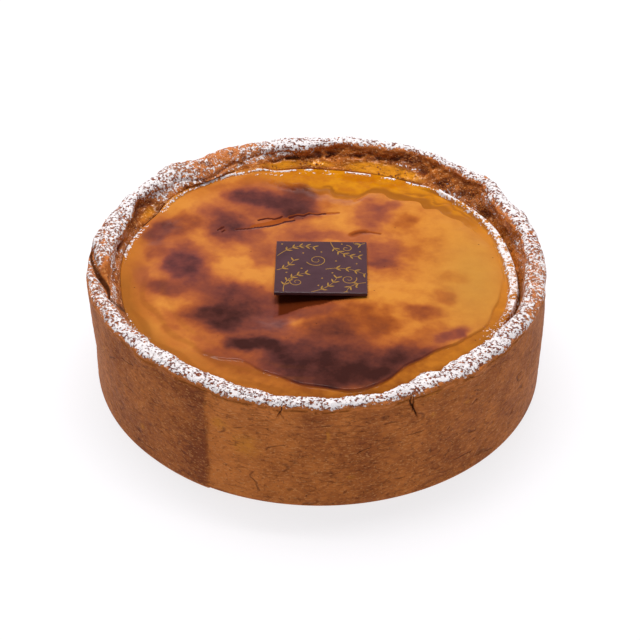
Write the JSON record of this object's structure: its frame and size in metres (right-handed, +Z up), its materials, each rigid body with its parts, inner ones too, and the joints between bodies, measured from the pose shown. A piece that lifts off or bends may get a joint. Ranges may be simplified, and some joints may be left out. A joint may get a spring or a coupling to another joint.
{
  "type": "custard flan",
  "caption": "Whole round custard flan in a tall baked pastry crust with a sugar-dusted uneven rim, toasted glazed custard and a thin square dark chocolate plaque.",
  "frame": {"origin": "middle of the flat base of the crust, at the middle of the outline seen from above", "axes": "+Z up out of the base, +X to the right and +Y to the back as the picture shows it, square to the plaque's edges"},
  "size_m": [0.1991, 0.1988, 0.0569],
  "materials": {
    "pastry": "baked, dull",
    "custard": "toasted, glazed, glossy",
    "chocolate": "smooth, satin, with gold print"
  },
  "bodies": {
    "root": {"crust": "pastry", "custard": "custard", "chocolate_plaque": "chocolate"}
  },
  "joints": []
}
